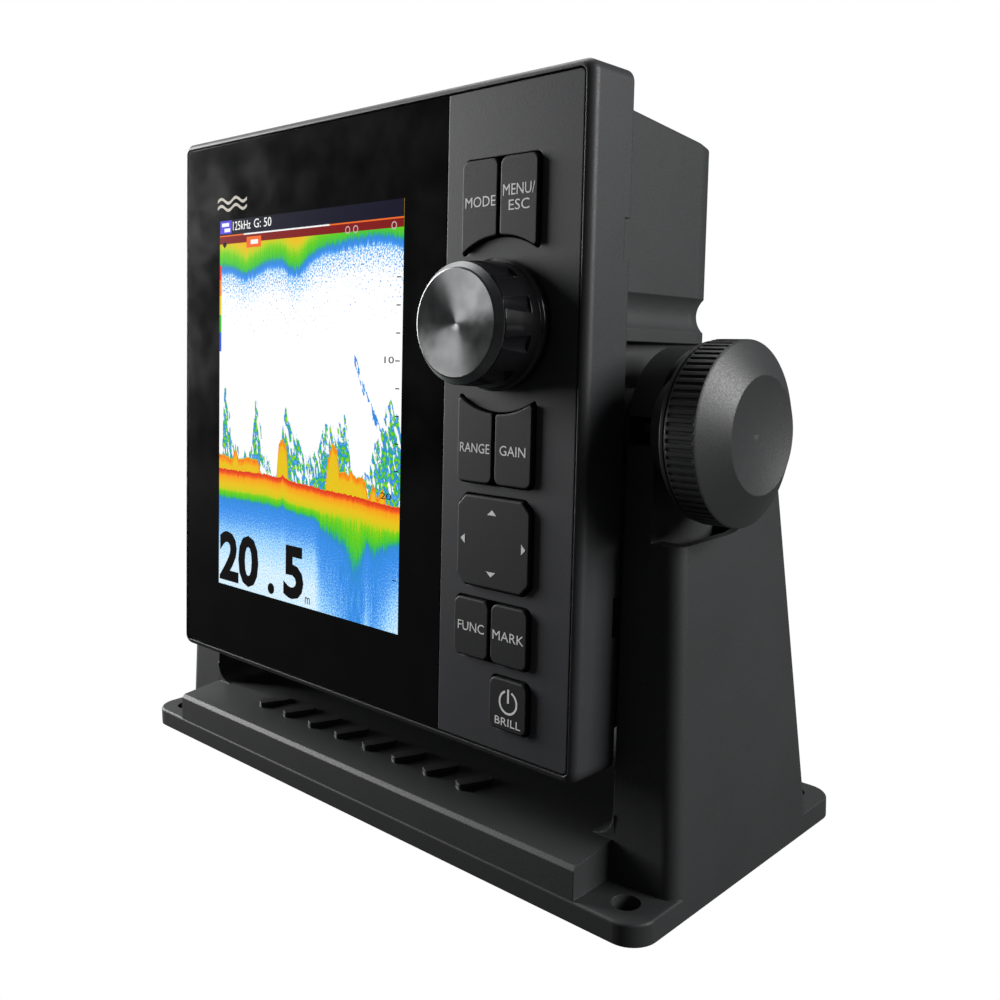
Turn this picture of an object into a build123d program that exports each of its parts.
from build123d import *
import os
from math import asin, cos, radians, sin

# Fish finder on a tabletop bracket, in millimetres.
# X runs to the right, Y to the back and Z up.  The origin is the centre of the bracket's underside.
# The display unit is drawn in its own frame: X right, Y the depth behind its front plane, Z up,
# with the origin at the middle of the front.  placed() then tilts it on the bracket's pivot.

# Bracket
BASE_WIDTH = 207.0
BASE_DEPTH = 94.6
BASE_CORNER_RADIUS = 7.0
LUG_THICKNESS = 5.5
LUG_HOLE_RADIUS = 3.4
LUG_HOLE_SPACING_X = 189.0
LUG_HOLE_SPACING_Y = 78.6
BRACKET_WALL = 3.0
DECK_FRONT_HEIGHT = 13.5
DECK_HEIGHT = 15.0
DECK_APRON_DEPTH = 17.0
DECK_ROOT_RADIUS = 6.0
DECK_BARS = 8
DECK_BAR_PITCH = 13.0
DECK_BAR_Y = -32.0
DECK_BAR_TURN = 25.0
TOWER_INNER_X = 85.2
TOWER_NECK_X = 100.7
TOWER_FRONT_Y = -33.0
TOWER_REAR_Y = 33.1
LIP_Z = 87.2
ARM_OUTER_X = 92.8
ARM_TOP_RADIUS = 19.0
ARM_FRONT_Y = -26.0
PILLAR_REAR_Y = 18.0
POCKET_REAR_Y = 8.0
POCKET_CORNER_RADIUS = 14.0
POCKET_DEPTH = 10.0
SLOT_HALF_HEIGHT = 3.35

# Pivot of the display on the bracket
PIVOT_Y = -16.9
PIVOT_Z = 113.0
PIVOT_DEPTH = 24.7
REST_TILT = 2.9

# Front bezel
BEZEL_HALF_WIDTH = 84.4
BEZEL_HALF_HEIGHT = 82.6
BEZEL_DEPTH = 15.0
BEZEL_CORNER_RADIUS = 3.4
BEZEL_EDGE_RADIUS = 2.4
BEZEL_WALL = 2.5
BEZEL_CAVITY_RADIUS = 4.0
PANEL_HALF_WIDTH = 82.35
PANEL_HALF_HEIGHT = 80.6
PANEL_CORNER_RADIUS = 1.8
PANEL_THICKNESS = 1.8
PANEL_FRONT = 0.2
PANEL_GROOVE = 0.5
PANEL_SEAT = PANEL_FRONT + PANEL_THICKNESS
LENS_EDGE_X = 39.0

# Display stack behind the lens
SCREEN_X = -22.0
SCREEN_Z = -0.8
SCREEN_WIDTH = 86.4
SCREEN_HEIGHT = 115.2
LCD_MARGIN = 3.5

# Keypad
KEY_FRONT = -0.9
KEY_BACK = 4.3
KEY_GAP = 0.45
KEY_TRAVEL = 0.8
KEY_CORNER = 2.0
KEY_POINT_RADIUS = 0.8
KEY_COLUMN_X = 57.6
KNOB_X = 58.3
KNOB_Z = 23.6
KNOB_ARC_RADIUS = 21.3
KEYBOARD_FRONT = 8.0

# Front control knob
DIAL_SKIRT_RADIUS = 15.8
DIAL_CAP_RADIUS = 13.4
DIAL_TIP = -15.6
DIAL_FLUTES = 10
SHAFT_RADIUS = 3.0
RUNNING_FIT = 0.06

# Rear case
CASE_FRONT_X = 80.0
CASE_WAIST_X = 77.0
CASE_WAIST_Y = 55.0
CASE_REAR_Y = 69.0
CASE_CORNER = 14.0
CASE_FRONT_Z = 76.0
CASE_REAR_Z = 72.0
CASE_WALL = 2.6
SIDE_RECESS_X = 75.0
SIDE_RECESS_TOP = 20.5
SIDE_RECESS_BOTTOM = -62.0
GRIP_Z = 27.9
GRIP_RADIUS = 6.3
GRIP_AXIS_OUT = 4.4
CASE_EDGE_CHAMFER = 0.9
BOSS_RADIUS = 9.2
BOSS_OUTER_X = 84.0
CASE_SCREWS = [(-60, 66.6), (0, 66.6), (60, 66.6), (-60, -66.6), (0, -66.6), (47, -66.6)]

# Clamp knob at the right side
CLAMP_RADIUS = 21.2
COLLAR_X = 94.15
CLAMP_INNER_X = 101.5
CLAMP_RING_X = 102.7
CLAMP_RIB_X = 103.7
CLAMP_OUTER_X = 111.0
CLAMP_DISH_X = 115.2
CLAMP_DISH_RADIUS = 13.4
CLAMP_DISH_DEPTH = 1.8
CLAMP_RIBS = 72
BOLT_RADIUS = 2.9
BOLT_INNER_X = 72.0
WASHER_THICKNESS = 1.2

# Pivot screw at the left side
SCREW_HEAD_RADIUS = 9.0
SCREW_HEAD_HEIGHT = 4.6


def span(x0, x1, y0, y1, z0, z1):
    """A box between two corners."""
    centre = Pos((x0 + x1) / 2, (y0 + y1) / 2, (z0 + z1) / 2)
    return centre * Box(abs(x1 - x0), abs(y1 - y0), abs(z1 - z0))


def slab(half_width, half_height, y0, y1, radius, x=0.0, z=0.0):
    """A plate with rounded corners, facing the front, from depth y0 back to y1."""
    outline = RectangleRounded(2 * half_width, 2 * half_height, radius)
    return extrude(Pos(x, y1, z) * Rot(X=90) * outline, y1 - y0)


def disc(radius, y0, y1, x=0.0, z=0.0):
    """A cylinder along the depth."""
    return extrude(Pos(x, y1, z) * Rot(X=90) * Circle(radius), y1 - y0)


def side_disc(radius, x0, x1, y=0.0, z=0.0):
    """A cylinder along X, from x0 out to x1."""
    return extrude(Plane.YZ.offset(x0) * Pos(y, z) * Circle(radius), x1 - x0)


def side_profile(edges, x0, x1):
    """A closed outline in the YZ plane, made solid from x0 to x1."""
    return extrude(Plane.YZ.offset(x0) * make_face(edges), x1 - x0)


def outline(points):
    """Straight closed outline through the points."""
    return Polyline(*points, close=True)


def placed(shape):
    """Moves a piece of the display unit from its own frame onto the pivot."""
    return Pos(0, PIVOT_Y, PIVOT_Z) * Rot(X=-REST_TILT) * Pos(0, -PIVOT_DEPTH, 0) * shape


def mirrored_pair(shape):
    return shape + mirror(shape, Plane.YZ)


# ---------------------------------------------------------------- bracket

def tower_outline(inset, bottom):
    """Side view of a tower with its round arm head, all walls moved in by the inset."""
    front_low = (TOWER_FRONT_Y + inset, bottom)
    front_high = (ARM_FRONT_Y + inset, PIVOT_Z)
    crown = (ARM_FRONT_Y + ARM_TOP_RADIUS, PIVOT_Z + ARM_TOP_RADIUS - inset)
    head_back = (ARM_FRONT_Y + 2 * ARM_TOP_RADIUS - inset, PIVOT_Z)
    rear_high = (PILLAR_REAR_Y - inset, PIVOT_Z)
    rear_low = (TOWER_REAR_Y - inset, bottom)
    edges = [
        Line(front_low, front_high),
        ThreePointArc(front_high, crown, head_back),
        Line(head_back, rear_high),
        Line(rear_high, rear_low),
        Line(rear_low, front_low),
    ]
    return edges


def tower_front_view(inset, inner_x):
    """Front view of a tower, whose outer wall leans in towards the top."""
    half = BASE_WIDTH / 2
    top = PIVOT_Z + 2 * ARM_TOP_RADIUS
    lean = (half - TOWER_NECK_X) / LIP_Z
    points = [
        (inner_x, 0),
        (half - inset, 0),
        (half - inset - lean * top, top),
        (inner_x, top),
    ]
    face = make_face(outline(points))
    return extrude(Pos(0, BASE_DEPTH, 0) * Rot(X=90) * face, 2 * BASE_DEPTH)


def tower():
    half = BASE_WIDTH / 2
    block = side_profile(tower_outline(0, 0), TOWER_INNER_X, half)
    block = block & tower_front_view(0, TOWER_INNER_X)
    lean_edges = block.edges().filter_by(lambda e: e.center().X > 98 and e.length > 100)
    block = fillet(lean_edges, 4.0)
    return block


def knob_pocket():
    """The open pocket that the clamp knob turns in, outside the arm."""
    corner = (POCKET_REAR_Y, LIP_Z + POCKET_CORNER_RADIUS)
    middle = (
        POCKET_REAR_Y - POCKET_CORNER_RADIUS * (1 - cos(radians(45))),
        LIP_Z + POCKET_CORNER_RADIUS * (1 - cos(radians(45))),
    )
    floor_end = (POCKET_REAR_Y - POCKET_CORNER_RADIUS, LIP_Z)
    top = PIVOT_Z + 2 * ARM_TOP_RADIUS
    edges = [
        Line((-BASE_DEPTH, LIP_Z), floor_end),
        ThreePointArc(floor_end, middle, corner),
        Line(corner, (POCKET_REAR_Y, top)),
        Line((POCKET_REAR_Y, top), (-BASE_DEPTH, top)),
        Line((-BASE_DEPTH, top), (-BASE_DEPTH, LIP_Z)),
    ]
    return side_profile(edges, ARM_OUTER_X, BASE_WIDTH)


def pocket_well():
    """The well behind the lip, below the pocket."""
    front = ARM_FRONT_Y + BRACKET_WALL
    back = POCKET_REAR_Y - BRACKET_WALL
    return span(ARM_OUTER_X, TOWER_NECK_X - 2.4, front, back, LIP_Z - POCKET_DEPTH, LIP_Z + 1)


def tower_hollow():
    """The space inside the lower tower, open underneath."""
    ceiling = LIP_Z - POCKET_DEPTH - BRACKET_WALL
    hollow = side_profile(tower_outline(BRACKET_WALL, -1), TOWER_INNER_X, BASE_WIDTH / 2)
    hollow = hollow & tower_front_view(BRACKET_WALL, TOWER_INNER_X + BRACKET_WALL)
    limit = span(0, BASE_WIDTH, -BASE_DEPTH, BASE_DEPTH, -1, ceiling)
    return hollow & limit


def clamp_slot():
    """The slot that the clamp bolt slides into from the front."""
    straight = span(
        TOWER_INNER_X - 1, BASE_WIDTH, -BASE_DEPTH, PIVOT_Y,
        PIVOT_Z - SLOT_HALF_HEIGHT, PIVOT_Z + SLOT_HALF_HEIGHT,
    )
    end = side_disc(SLOT_HALF_HEIGHT, TOWER_INNER_X - 1, BASE_WIDTH / 2, PIVOT_Y, PIVOT_Z)
    return straight + end


def deck():
    half = BASE_DEPTH / 2
    points = [
        (-half, 0),
        (-half + 0.5, DECK_FRONT_HEIGHT - 1),
        (-half + 1.5, DECK_FRONT_HEIGHT),
        (-half + DECK_APRON_DEPTH, DECK_HEIGHT),
        (half - 1, DECK_HEIGHT),
        (half, DECK_HEIGHT - 1),
        (half, 0),
    ]
    return side_profile(outline(points), -TOWER_INNER_X, TOWER_INNER_X)


def deck_hollow():
    half = BASE_DEPTH / 2 - BRACKET_WALL
    top = DECK_FRONT_HEIGHT - BRACKET_WALL
    width = TOWER_INNER_X - BRACKET_WALL
    hollow = span(-width, width, -half, half, -1, top)
    for x in range(-60, 61, 30):
        hollow = hollow - span(x - 1, x + 1, -half, half, 1, top)
    hollow = hollow - span(-width, width, -1, 1, 1, top)
    return hollow


def deck_root():
    """The rounded corner between the deck and a tower's inner wall."""
    inner_x = TOWER_INNER_X - DECK_ROOT_RADIUS
    front_y = TOWER_FRONT_Y + 1.0
    rear_y = TOWER_REAR_Y - 2.0
    top = DECK_HEIGHT + DECK_ROOT_RADIUS
    corner = span(inner_x, TOWER_INNER_X + 0.5, front_y, rear_y, DECK_HEIGHT - 0.5, top)
    return corner - disc(DECK_ROOT_RADIUS, -BASE_DEPTH, BASE_DEPTH, inner_x, top)


def deck_bars():
    """A row of low slanting bars on the front of the deck."""
    bars = Part()
    for index in range(DECK_BARS):
        x = DECK_BAR_PITCH * (index - 4)
        bar = Pos(x, DECK_BAR_Y, DECK_HEIGHT) * Rot(Z=-DECK_BAR_TURN) * Box(4.0, 10.0, 2.0)
        bars = bars + fillet(bar.edges().filter_by(Axis.Z), 1.2)
    return bars


def bracket():
    plate = extrude(RectangleRounded(BASE_WIDTH, BASE_DEPTH, BASE_CORNER_RADIUS), LUG_THICKNESS)
    plate = fillet(plate.edges().group_by(Axis.Z)[-1], 0.8)
    plate = plate & mirrored_pair(tower_front_view(0, 0))
    body = plate + deck() + mirrored_pair(tower() + deck_root()) + deck_bars()
    body = body - deck_hollow()
    body = body - mirrored_pair(knob_pocket() + pocket_well())
    body = body - mirrored_pair(tower_hollow())
    body = body - mirrored_pair(clamp_slot())
    holes = GridLocations(LUG_HOLE_SPACING_X, LUG_HOLE_SPACING_Y, 2, 2)
    body = body - holes * (Pos(0, 0, LUG_THICKNESS / 2) * Cylinder(LUG_HOLE_RADIUS, 20))
    return body


# ---------------------------------------------------------------- clamp knob and pivot screw

def clamp_grooves():
    """The fine grooves between the ribs of the clamp knob's grip."""
    pitch = 360.0 / CLAMP_RIBS
    groove = Rectangle(1.2, 0.85)
    cuts = Sketch() + [Rot(Z=index * pitch) * Pos(CLAMP_RADIUS, 0) * groove for index in range(CLAMP_RIBS)]
    return extrude(Plane.YZ.offset(CLAMP_RIB_X - 0.1) * cuts, CLAMP_OUTER_X - CLAMP_RIB_X - 0.4)


def clamp_knob():
    """Turned body with a collar for the arm's washer, a coned face and a round dish."""
    dish_sphere = (CLAMP_DISH_RADIUS ** 2 + CLAMP_DISH_DEPTH ** 2) / (2 * CLAMP_DISH_DEPTH)
    half_angle = asin(CLAMP_DISH_RADIUS / dish_sphere) / 2
    rim = (CLAMP_DISH_X, CLAMP_DISH_RADIUS)
    centre = (CLAMP_DISH_X - CLAMP_DISH_DEPTH, 0)
    middle = (centre[0] + dish_sphere * (1 - cos(half_angle)), dish_sphere * sin(half_angle))
    bolt_end = CLAMP_OUTER_X - 0.6
    outline_points = [
        (bolt_end, 0),
        (bolt_end, BOLT_RADIUS),
        (COLLAR_X, BOLT_RADIUS),
        (COLLAR_X, 13.0),
        (CLAMP_INNER_X, 14.0),
        (CLAMP_INNER_X, CLAMP_RADIUS - 0.8),
        (CLAMP_INNER_X + 0.4, CLAMP_RADIUS - 0.4),
        (CLAMP_RING_X, CLAMP_RADIUS - 0.4),
        (CLAMP_RING_X, CLAMP_RADIUS - 1.0),
        (CLAMP_RING_X + 0.4, CLAMP_RADIUS - 1.0),
        (CLAMP_RING_X + 0.4, CLAMP_RADIUS - 0.4),
        (CLAMP_RIB_X, CLAMP_RADIUS - 0.4),
        (CLAMP_RIB_X, CLAMP_RADIUS),
        (CLAMP_OUTER_X - 0.3, CLAMP_RADIUS),
        (CLAMP_OUTER_X, CLAMP_RADIUS - 0.4),
        rim,
    ]
    edges = [Polyline(*outline_points), ThreePointArc(rim, middle, centre), Line(centre, (bolt_end, 0))]
    body = revolve(make_face(edges), Axis.X) - clamp_grooves()
    return Pos(0, PIVOT_Y, PIVOT_Z) * body


def clamp_bolt():
    return side_disc(BOLT_RADIUS, BOLT_INNER_X, CLAMP_OUTER_X - 0.6, PIVOT_Y, PIVOT_Z)


def pivot_screw():
    """Low screw with a domed head and a hexagon socket, on the side that has no clamp knob."""
    seat = ARM_OUTER_X + WASHER_THICKNESS + 0.15
    head = side_disc(SCREW_HEAD_RADIUS, seat, seat + SCREW_HEAD_HEIGHT, 0, 0)
    head = fillet(head.edges().group_by(Axis.X)[-1], 2.2)
    socket = extrude(Plane.YZ.offset(seat + 1.8) * RegularPolygon(3.0, 6), SCREW_HEAD_HEIGHT)
    shank = side_disc(BOLT_RADIUS, BOLT_INNER_X, seat + 0.5)
    return Pos(0, PIVOT_Y, PIVOT_Z) * (head + shank - socket)


def arm_washer():
    ring = side_disc(9.5, ARM_OUTER_X, ARM_OUTER_X + WASHER_THICKNESS, PIVOT_Y, PIVOT_Z)
    return ring - side_disc(3.5, ARM_OUTER_X - 1, ARM_OUTER_X + 3, PIVOT_Y, PIVOT_Z)


def friction_washer():
    ring = side_disc(BOSS_RADIUS - 0.5, BOSS_OUTER_X, TOWER_INNER_X - 0.15, PIVOT_DEPTH, 0)
    return ring - side_disc(3.6, BOSS_OUTER_X - 1, TOWER_INNER_X + 1, PIVOT_DEPTH, 0)


# ---------------------------------------------------------------- front bezel and panel

def front_bezel():
    shell = slab(BEZEL_HALF_WIDTH, BEZEL_HALF_HEIGHT, 0, BEZEL_DEPTH, BEZEL_CORNER_RADIUS)
    shell = fillet(shell.edges().group_by(Axis.Y)[0], BEZEL_EDGE_RADIUS)
    inner_w = BEZEL_HALF_WIDTH - BEZEL_WALL
    inner_h = BEZEL_HALF_HEIGHT - BEZEL_WALL
    shell = shell - slab(PANEL_HALF_WIDTH, PANEL_HALF_HEIGHT, -1, PANEL_SEAT, PANEL_CORNER_RADIUS)
    shell = shell - slab(inner_w - 3.5, inner_h - 3.5, 0, 5, 2.0)
    shell = shell - slab(inner_w, inner_h, 4.2, BEZEL_DEPTH + 1, BEZEL_CAVITY_RADIUS)
    for z0, z1 in [(38.7, 48.5), (-49.7, -40.1)]:
        for side in (-1, 1):
            inner = side * (inner_w - 1)
            shell = shell - span(inner, side * (BEZEL_HALF_WIDTH + 1), BEZEL_DEPTH - 2, BEZEL_DEPTH + 1, z0, z1)
    for x, z in CASE_SCREWS:
        shell = shell + bezel_boss(x, z)
    return shell


def bezel_boss(x, z):
    """A post behind the lens that takes a case screw, tied to the nearest wall."""
    post = disc(3.2, 3.0, 12.4, x, z)
    wall = BEZEL_HALF_HEIGHT - 1.5
    web = span(x - 1.5, x + 1.5, 3.0, 10.0, z, (wall if z > 0 else -wall))
    return post + web - disc(1.3, 5.0, 13.0, x, z)


def panel_blank():
    """The whole inset panel, of which the lens is the left part and the keypad the right."""
    half_w = PANEL_HALF_WIDTH - PANEL_GROOVE
    half_h = PANEL_HALF_HEIGHT - PANEL_GROOVE
    return slab(half_w, half_h, PANEL_FRONT, PANEL_SEAT, PANEL_CORNER_RADIUS - PANEL_GROOVE)


def lens_window():
    return panel_blank() & span(-100, LENS_EDGE_X, -1, 5, -100, 100)


def keypad_panel():
    panel = panel_blank() & span(LENS_EDGE_X + 0.3, 100, -1, 5, -100, 100)
    for sketch in key_openings():
        panel = panel - key_prism(sketch, -1, PANEL_SEAT + 1)
    panel = panel - disc(5.2, -1, PANEL_SEAT + 1, KNOB_X, KNOB_Z)
    return panel


# ---------------------------------------------------------------- keys

def key_prism(sketch, y0, y1):
    """A key outline, drawn in X and Z, made solid from depth y0 to y1."""
    return extrude(Pos(0, y1, 0) * Rot(X=90) * sketch, y1 - y0)


def key_outline(x0, x1, z0, z1, grow=0.0):
    """Rounded key outline, cut back in an arc where it would run into the control knob's ring."""
    width = x1 - x0 + 2 * grow
    height = z1 - z0 + 2 * grow
    body = Pos((x0 + x1) / 2, (z0 + z1) / 2) * RectangleRounded(width, height, KEY_CORNER)
    ring_radius = KNOB_ARC_RADIUS - grow
    cut = body - Pos(KNOB_X, KNOB_Z) * Circle(ring_radius)
    ring_centre = Vector(KNOB_X, KNOB_Z, 0)
    points = [v for v in cut.vertices() if abs((v.center() - ring_centre).length - ring_radius) < 0.01]
    if points:
        cut = fillet(points, KEY_POINT_RADIUS)
    return cut


KEYS = {
    "mode_key": (45.4, 57.2, 36.0, 63.2),
    "menu_key": (58.0, 69.8, 36.0, 63.2),
    "range_key": (45.4, 57.2, -14.8, 12.0),
    "gain_key": (58.0, 69.8, -14.8, 12.0),
    "func_key": (45.4, 57.2, -58.4, -43.8),
    "mark_key": (58.0, 69.8, -58.4, -43.8),
    "power_key": (58.0, 70.2, -74.2, -61.6),
}
CURSOR_PAD = (45.9, 69.9, -40.4, -18.0)


def key_openings():
    """Openings in the panel: one for each pair of keys, the cursor pad and the power key."""
    pairs = [("mode_key", "menu_key"), ("range_key", "gain_key"), ("func_key", "mark_key")]
    openings = []
    for left, right in pairs:
        x0, _, z0, z1 = KEYS[left]
        x1 = KEYS[right][1]
        openings.append(key_outline(x0, x1, z0, z1, KEY_GAP))
    openings.append(key_outline(*KEYS["power_key"], KEY_GAP))
    openings.append(cursor_outline(KEY_GAP))
    return openings


def single_key(name):
    x0, x1, z0, z1 = KEYS[name]
    cap = key_prism(key_outline(x0, x1, z0, z1), KEY_FRONT, 2.6)
    cap = fillet(cap.edges().group_by(Axis.Y)[0], 0.4)
    flange = key_prism(key_outline(x0, x1, z0, z1, -0.3), 2.4, 3.2)
    stem_x = (x0 + x1) / 2
    stem_z = key_stem_height(z0, z1)
    stem = slab(1.8, 1.8, 2.4, KEY_BACK, 0.5, stem_x, stem_z)
    return cap + flange + stem


def key_stem_height(z0, z1):
    """Middle of the part of a key that the knob's ring leaves free."""
    if z0 > KNOB_Z:
        return (KNOB_Z + KNOB_ARC_RADIUS + z1) / 2
    if z1 > 0:
        return (KNOB_Z - KNOB_ARC_RADIUS + z0) / 2 - 1
    return (z0 + z1) / 2


def cursor_outline(grow=0.0):
    """An eight-sided pad with short slanting corners."""
    x0, x1, z0, z1 = CURSOR_PAD
    cut = 2.6
    x0, x1, z0, z1 = x0 - grow, x1 + grow, z0 - grow, z1 + grow
    points = [
        (x0 + cut, z0), (x1 - cut, z0), (x1, z0 + cut), (x1, z1 - cut),
        (x1 - cut, z1), (x0 + cut, z1), (x0, z1 - cut), (x0, z0 + cut),
    ]
    face = make_face(outline(points))
    return fillet(face.vertices(), 1.5)


def cursor_centre():
    x0, x1, z0, z1 = CURSOR_PAD
    return (x0 + x1) / 2, (z0 + z1) / 2


def cursor_pad():
    cap = key_prism(cursor_outline(), KEY_FRONT, 2.6)
    cap = fillet(cap.edges().group_by(Axis.Y)[0], 0.5)
    x, z = cursor_centre()
    socket = disc(3.2, 2.4, 4.0, x, z)
    return cap + socket


def cursor_gimbal():
    """The small rocker that carries the cursor pad on the keypad board."""
    x, z = cursor_centre()
    return slab(2.6, 2.6, 4.1, 5.8, 0.6, x, z)


# ---------------------------------------------------------------- control knob and its encoder

def control_knob():
    """Fluted body of the front knob, with a plain skirt."""
    profile = Polyline(
        (0, -0.6),
        (DIAL_SKIRT_RADIUS, -0.6),
        (DIAL_SKIRT_RADIUS, -2.2),
        (DIAL_SKIRT_RADIUS - 0.7, -2.8),
        (DIAL_CAP_RADIUS + 0.9, -13.6),
        (0, -13.6),
        close=True,
    )
    body = revolve(make_face(profile), Axis.Y)
    for index in range(DIAL_FLUTES):
        angle = (index + 0.5) * 360.0 / DIAL_FLUTES
        flute = Pos(DIAL_SKIRT_RADIUS + 1.6, -14.0, 0) * Rot(X=90) * Cylinder(3.4, 18.0)
        flute = Rot(Y=angle) * Pos(0, -0.5, 0) * flute
        body = body - flute
    bore = disc(SHAFT_RADIUS, -10.0, 0.0)
    return Pos(KNOB_X, 0, KNOB_Z) * (body - bore)


def knob_cap():
    """Spun metal cap on the front knob: a very flat cone inside a bevelled rim."""
    profile = Polyline(
        (0, -13.6),
        (DIAL_CAP_RADIUS + 0.7, -13.6),
        (DIAL_CAP_RADIUS + 0.7, -14.0),
        (DIAL_CAP_RADIUS - 0.6, DIAL_TIP + 0.2),
        (DIAL_CAP_RADIUS - 1.0, DIAL_TIP),
        (0, DIAL_TIP + 0.5),
        close=True,
    )
    return Pos(KNOB_X, 0, KNOB_Z) * revolve(make_face(profile), Axis.Y)


def encoder_shaft():
    return disc(SHAFT_RADIUS, -10.0, 5.0, KNOB_X, KNOB_Z)


def encoder_body():
    housing = slab(6.5, 6.5, 4.0, KEYBOARD_FRONT, 0.8, KNOB_X, KNOB_Z)
    collar = disc(4.6, 0.4, 4.0, KNOB_X, KNOB_Z)
    well = disc(SHAFT_RADIUS + RUNNING_FIT, 0.0, 7.2, KNOB_X, KNOB_Z)
    return housing + collar - well


def encoder_plunger():
    """The disc that the pushed shaft presses down."""
    return disc(2.6, 5.0, 5.8, KNOB_X, KNOB_Z)


# ---------------------------------------------------------------- electronics

def lcd_panel():
    half_w = SCREEN_WIDTH / 2 + LCD_MARGIN
    half_h = SCREEN_HEIGHT / 2 + LCD_MARGIN
    return slab(half_w, half_h, 2.8, 4.6, 0.5, SCREEN_X, SCREEN_Z)


def lcd_frame():
    half_w = SCREEN_WIDTH / 2 + LCD_MARGIN + 1.0
    half_h = SCREEN_HEIGHT / 2 + LCD_MARGIN + 1.0
    frame = slab(half_w, half_h, 2.3, 9.6, 1.0, SCREEN_X, SCREEN_Z)
    frame = frame - slab(half_w - 0.8, half_h - 0.8, 2.7, 10.0, 0.6, SCREEN_X, SCREEN_Z)
    window_w = SCREEN_WIDTH / 2 + 1.5
    window_h = SCREEN_HEIGHT / 2 + 1.5
    return frame - slab(window_w, window_h, 2.0, 3.0, 0.5, SCREEN_X, SCREEN_Z)


def backlight():
    half_w = SCREEN_WIDTH / 2 + LCD_MARGIN
    half_h = SCREEN_HEIGHT / 2 + LCD_MARGIN
    return slab(half_w, half_h, 4.8, 9.4, 0.5, SCREEN_X, SCREEN_Z)


CHASSIS_POSTS = [(-61, 44), (61, 44), (-61, -44), (61, -44)]
RIBBON_X = 60.0


def chassis_plate():
    plate = slab(78.5, 76.5, 10.4, 11.9, 3.0)
    for x, z in CASE_SCREWS:
        plate = plate - disc(4.0, 10, 13, x, z)
    for x, z in CHASSIS_POSTS:
        plate = plate + disc(2.8, 11.9, 19.0, x, z)
        plate = plate - disc(1.2, 10.0, 20.0, x, z)
    return plate - span(RIBBON_X - 1.5, RIBBON_X + 1.8, 10, 12, -22, -6)


def main_board():
    board = slab(66.0, 56.0, 19.0, 20.6, 2.0)
    for x, z in CHASSIS_POSTS:
        board = board - disc(1.5, 18, 22, x, z)
    return board


def board_screws():
    screws = Part()
    for x, z in CHASSIS_POSTS:
        head = disc(2.6, 20.6, 22.4, x, z)
        shank = disc(1.2, 13.0, 20.7, x, z)
        screws = screws + head + shank
    return screws


def processor():
    return slab(9.0, 9.0, 20.6, 22.2, 0.6, -20, 10)


def heat_spreader():
    plate = slab(12.0, 12.0, 22.2, 24.0, 0.6, -20, 10)
    for index in range(6):
        x = -30 + 4 * index
        plate = plate + span(x - 0.6, x + 0.6, 23.8, 30.0, -1, 21)
    return plate


def capacitors():
    cans = Part()
    for x, z, radius, height in [(30, 20, 6.5, 22), (46, 20, 6.5, 22), (30, 2, 5.0, 16), (44, 2, 5.0, 16)]:
        cans = cans + disc(radius, 20.6, 20.6 + height, x, z)
    return cans


def transformer():
    core = slab(13.0, 11.0, 20.6, 40.0, 1.0, 38, -28)
    winding = slab(9.5, 13.5, 23.0, 37.0, 3.0, 38, -28)
    return core + winding


def buzzer():
    can = disc(7.0, 20.6, 28.0, -46, -36)
    return can - disc(1.2, 27.0, 29.0, -46, -36)


def keypad_board():
    board = slab(17.5, 68.5, KEYBOARD_FRONT, KEYBOARD_FRONT + 1.6, 1.0, KEY_COLUMN_X, -6.9)
    return board - span(39, 56, 5, 12, -80, -60)


def key_switches():
    """Press switches on the keypad board, one under each key and four round the cursor pad."""
    spots = []
    for x0, x1, z0, z1 in KEYS.values():
        spots.append(((x0 + x1) / 2, key_stem_height(z0, z1)))
    x, z = cursor_centre()
    spots += [(x - 8, z), (x + 8, z), (x, z - 8), (x, z + 8)]
    switches = Part()
    for x, z in spots:
        base = slab(2.6, 2.6, 5.9, KEYBOARD_FRONT, 0.4, x, z)
        button = disc(1.4, 5.5, 6.0, x, z)
        switches = switches + base + button
    return switches


def ribbon_cable():
    """Flat cable from the keypad board through the chassis plate to the main board."""
    return span(RIBBON_X, RIBBON_X + 0.3, KEYBOARD_FRONT + 1.6, 19.0, -20, -8)


# ---------------------------------------------------------------- rear case

def case_plan(inset=0.0):
    """Plan view of the case: sides that lean in, and round rear corners."""
    front = CASE_FRONT_X - inset
    waist = CASE_WAIST_X - inset
    radius = CASE_CORNER - inset
    rear = CASE_REAR_Y - inset
    centre_x = waist - radius
    bulge = radius * cos(radians(45))
    start_y = rear - radius
    edges = [
        Line((-front, 15.0), (front, 15.0)),
        Line((front, 15.0), (waist, start_y)),
        ThreePointArc((waist, start_y), (centre_x + bulge, start_y + bulge), (centre_x, rear)),
        Line((centre_x, rear), (-centre_x, rear)),
        ThreePointArc((-centre_x, rear), (-centre_x - bulge, start_y + bulge), (-waist, start_y)),
        Line((-waist, start_y), (-front, 15.0)),
    ]
    return make_face(edges)


def case_side_view(inset=0.0):
    """Side view of the case: top and bottom slope together towards the rear."""
    front = CASE_FRONT_Z - inset
    rear = CASE_REAR_Z - inset
    depth = CASE_REAR_Y - inset
    points = [(12.0, -front), (12.0, front), (depth, rear), (depth, -rear)]
    return side_profile(outline(points), -CASE_FRONT_X - 5, CASE_FRONT_X + 5)


def case_volume(inset=0.0):
    plan = extrude(Pos(0, 0, -90) * case_plan(inset), 180)
    return plan & case_side_view(inset)


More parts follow.
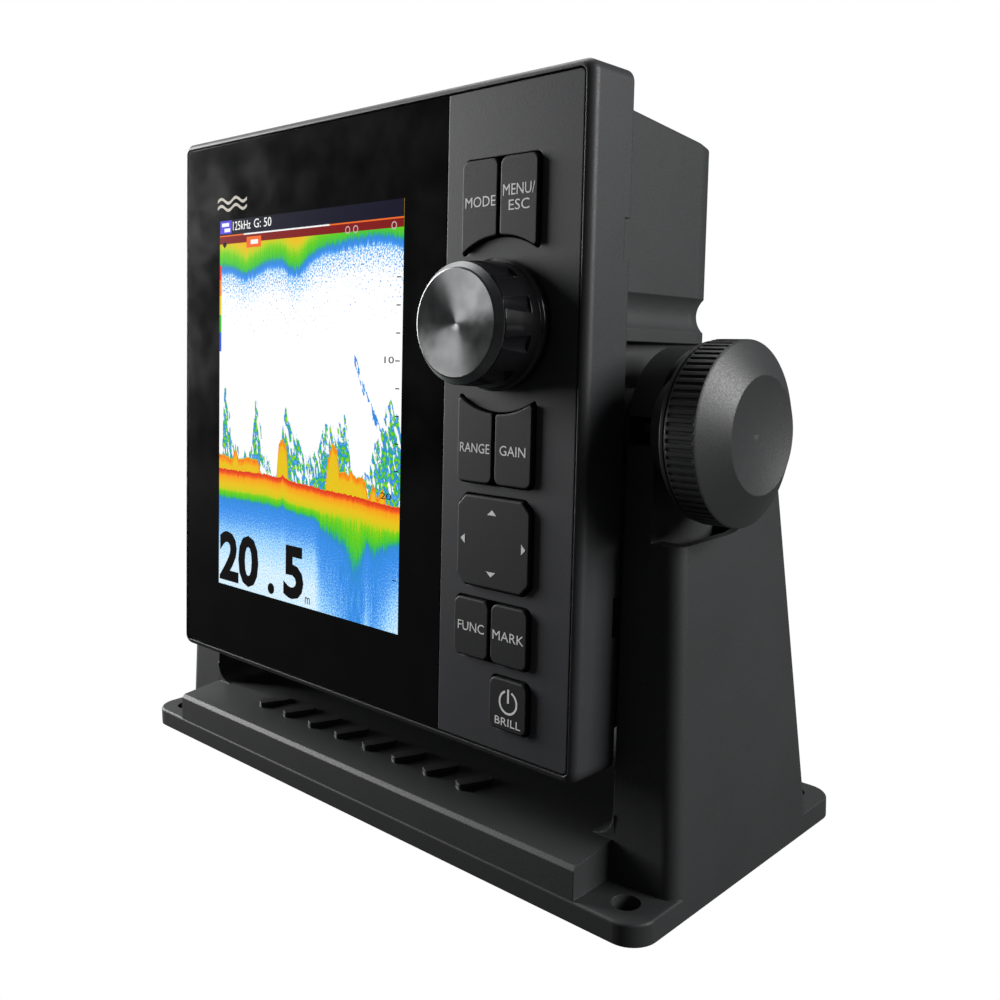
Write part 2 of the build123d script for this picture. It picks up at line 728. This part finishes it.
def grip_groove():
    """The round groove along both sides and across the rear of the case."""
    radius = CASE_CORNER
    centre_x = CASE_WAIST_X - radius
    start_y = CASE_REAR_Y - radius
    bulge = radius * cos(radians(45))
    front = CASE_FRONT_X + GRIP_AXIS_OUT + 0.6
    waist = CASE_WAIST_X + GRIP_AXIS_OUT
    rear = CASE_REAR_Y + GRIP_AXIS_OUT
    wide = bulge * (radius + GRIP_AXIS_OUT) / radius
    path = Wire([
        Line((front, 10.0, GRIP_Z), (waist, start_y, GRIP_Z)),
        ThreePointArc(
            (waist, start_y, GRIP_Z),
            (centre_x + wide, start_y + wide, GRIP_Z),
            (centre_x, rear, GRIP_Z),
        ),
        Line((centre_x, rear, GRIP_Z), (0, rear, GRIP_Z)),
    ])
    section = Plane(origin=path @ 0, z_dir=path % 0) * Circle(GRIP_RADIUS)
    half = sweep(section, path)
    return half + mirror(half, Plane.YZ)


def rear_case():
    body = case_volume()
    long_edges = body.edges().filter_by(lambda e: abs(e.center().Z) > 70 and e.center().Y > 15.5)
    body = chamfer(long_edges, CASE_EDGE_CHAMFER)
    wells = Part()
    for x, z in CASE_SCREWS:
        wells = wells + disc(5.2, 15.0, 80.0, x, z)
    wells = wells & body
    body = body - grip_groove()
    side_cut = span(SIDE_RECESS_X, 95, 14.0, 90, SIDE_RECESS_BOTTOM, SIDE_RECESS_TOP)
    body = body - mirrored_pair(side_cut)
    flange_w = BEZEL_HALF_WIDTH - BEZEL_WALL - 0.4
    flange_h = BEZEL_HALF_HEIGHT - BEZEL_WALL - 0.4
    body = body + slab(flange_w, flange_h, 13.0, 15.0, 3.5) - case_inside()
    body = body + wells + mirrored_pair(pivot_boss()) + cooling_fins()
    for x, z in CASE_SCREWS:
        body = body + disc(5.2, 13.0, 16.0, x, z)
        body = body - disc(3.8, 17.0, 90.0, x, z) - disc(1.5, 12.0, 20.0, x, z)
    body = body - mirrored_pair(pivot_bore())
    for x, radius in CONNECTOR_SPOTS:
        body = body - disc(radius - 1.2, 60, 75, x, CONNECTOR_Z)
    return body - disc(4.0, 60, 75, VENT_X, VENT_Z) - disc(2.2, 60, 75, 0, GROUND_Z)


def case_inside():
    """The room inside the case, kept clear of the groove and the side recess."""
    inner = case_volume(CASE_WALL)
    room = span(-90, 90, 10, CASE_REAR_Y, -90, 90)
    waist_half = SIDE_RECESS_X - CASE_WALL
    groove_top = GRIP_Z + GRIP_RADIUS + CASE_WALL - 1
    recess_bottom = SIDE_RECESS_BOTTOM - CASE_WALL
    waist = span(waist_half, 95, 10, 90, recess_bottom, groove_top)
    groove_back = span(-95, 95, CASE_REAR_Y - 7.0, 90, GRIP_Z - GRIP_RADIUS - 1.6, groove_top)
    mouth = slab(waist_half, CASE_FRONT_Z - CASE_WALL, 12.0, 17.0, 3.0)
    return (inner & room) - mirrored_pair(waist) - groove_back + mouth


def pivot_boss():
    return side_disc(BOSS_RADIUS, 68.0, BOSS_OUTER_X, PIVOT_DEPTH, 0)


def pivot_bore():
    """Room for the threaded bush, and for the bolt outside it."""
    bush_room = side_disc(6.0, 60.0, 79.0, PIVOT_DEPTH, 0)
    return bush_room + side_disc(3.4, 70.0, 90.0, PIVOT_DEPTH, 0)


def cooling_fins():
    fins = Part()
    for index in range(11):
        x = -50 + 10 * index
        fins = fins + span(x - 1.2, x + 1.2, CASE_REAR_Y - 3, CASE_REAR_Y + 3.0, 40.0, 62.0)
    return fins


def thread_insert():
    """Threaded brass bush inside the pivot boss."""
    bush = side_disc(6.0, 70.0, 79.0, PIVOT_DEPTH, 0)
    return bush - side_disc(BOLT_RADIUS + 0.08, 60.0, 90.0, PIVOT_DEPTH, 0)


def case_gasket():
    outer = slab(BEZEL_HALF_WIDTH - BEZEL_WALL - 0.5, BEZEL_HALF_HEIGHT - BEZEL_WALL - 0.5, 12.4, 13.0, 3.0)
    inner = slab(79.6, 77.8, 12.0, 14.0, 2.5)
    return outer - inner


def case_screws():
    screws = Part()
    for x, z in CASE_SCREWS:
        screws = screws + disc(3.2, 17.0, 20.0, x, z) + disc(1.2, 6.0, 17.1, x, z)
        screws = screws - slab(0.5, 2.4, 18.8, 21.0, 0.2, x, z) - slab(2.4, 0.5, 18.8, 21.0, 0.2, x, z)
    return screws


# ---------------------------------------------------------------- rear connectors

CONNECTOR_Z = -34.0
GROUND_Z = -56.0
CONNECTOR_SPOTS = [(-38.0, 9.0), (0.0, 12.0), (38.0, 9.0)]
VENT_X = 62.0
VENT_Z = -10.0


def round_connector(x, radius, pins):
    """A panel socket with a nut, a keyed shell and a ring of pins."""
    barrel = disc(radius - 1.4, 60.0, 80.0, x, CONNECTOR_Z)
    flange = disc(radius + 2.0, CASE_REAR_Y, CASE_REAR_Y + 3.0, x, CONNECTOR_Z)
    shell = barrel + flange - disc(radius - 3.0, 71.0, 81.0, x, CONNECTOR_Z)
    for index in range(pins):
        angle = radians(index * 360.0 / pins)
        px = x + (radius - 5.0) * cos(angle)
        pz = CONNECTOR_Z + (radius - 5.0) * sin(angle)
        shell = shell + disc(0.8, 70.5, 78.0, px, pz)
    return shell + span(x - 1.0, x + 1.0, 70.5, 79.0, CONNECTOR_Z + radius - 3.6, CONNECTOR_Z + radius - 2.0)


def ground_terminal():
    stud = disc(2.0, 62.0, 79.0, 0.0, GROUND_Z)
    nut = extrude(Pos(0, CASE_REAR_Y + 4.0, GROUND_Z) * Rot(X=90) * RegularPolygon(4.5, 6), 3.0)
    washer = disc(5.0, CASE_REAR_Y, CASE_REAR_Y + 1.0, 0.0, GROUND_Z)
    return stud + nut + washer


def vent_plug():
    head = disc(5.5, CASE_REAR_Y, CASE_REAR_Y + 2.0, VENT_X, VENT_Z)
    plug = disc(3.8, 65.5, CASE_REAR_Y + 0.5, VENT_X, VENT_Z)
    body = head + plug
    for angle in range(0, 180, 60):
        slot = Rot(Y=angle) * Box(8.0, 1.2, 0.8)
        body = body - Pos(VENT_X, CASE_REAR_Y + 1.9, VENT_Z) * slot
    return body


def save(name, shape):
    export_step(shape, os.path.join("parts", name + ".step"))


def main():
    os.makedirs("parts", exist_ok=True)
    save("bracket", bracket())
    save("right_arm_washer", arm_washer())
    save("left_arm_washer", mirror(arm_washer(), Plane.YZ))
    save("right_clamp_knob", clamp_knob())
    save("right_clamp_bolt", clamp_bolt())
    save("left_pivot_screw", mirror(pivot_screw(), Plane.YZ))
    display = {
        "front_bezel": front_bezel(),
        "lens_window": lens_window(),
        "keypad_panel": keypad_panel(),
        "lcd_panel": lcd_panel(),
        "lcd_frame": lcd_frame(),
        "backlight": backlight(),
        "chassis_plate": chassis_plate(),
        "main_board": main_board(),
        "board_screws": board_screws(),
        "processor": processor(),
        "heat_spreader": heat_spreader(),
        "capacitors": capacitors(),
        "transformer": transformer(),
        "buzzer": buzzer(),
        "keypad_board": keypad_board(),
        "ribbon_cable": ribbon_cable(),
        "key_switches": key_switches(),
        "encoder_body": encoder_body(),
        "encoder_plunger": encoder_plunger(),
        "encoder_shaft": encoder_shaft(),
        "control_knob": control_knob(),
        "knob_cap": knob_cap(),
        "cursor_pad": cursor_pad(),
        "cursor_gimbal": cursor_gimbal(),
        "case_gasket": case_gasket(),
        "rear_case": rear_case(),
        "case_screws": case_screws(),
        "right_thread_insert": thread_insert(),
        "left_thread_insert": mirror(thread_insert(), Plane.YZ),
        "right_friction_washer": friction_washer(),
        "left_friction_washer": mirror(friction_washer(), Plane.YZ),
        "power_connector": round_connector(-38.0, 9.0, 3),
        "transducer_connector": round_connector(0.0, 12.0, 10),
        "data_connector": round_connector(38.0, 9.0, 6),
        "ground_terminal": ground_terminal(),
        "vent_plug": vent_plug(),
    }
    for name in KEYS:
        display[name] = single_key(name)
    for name, shape in display.items():
        save(name, placed(shape))


main()
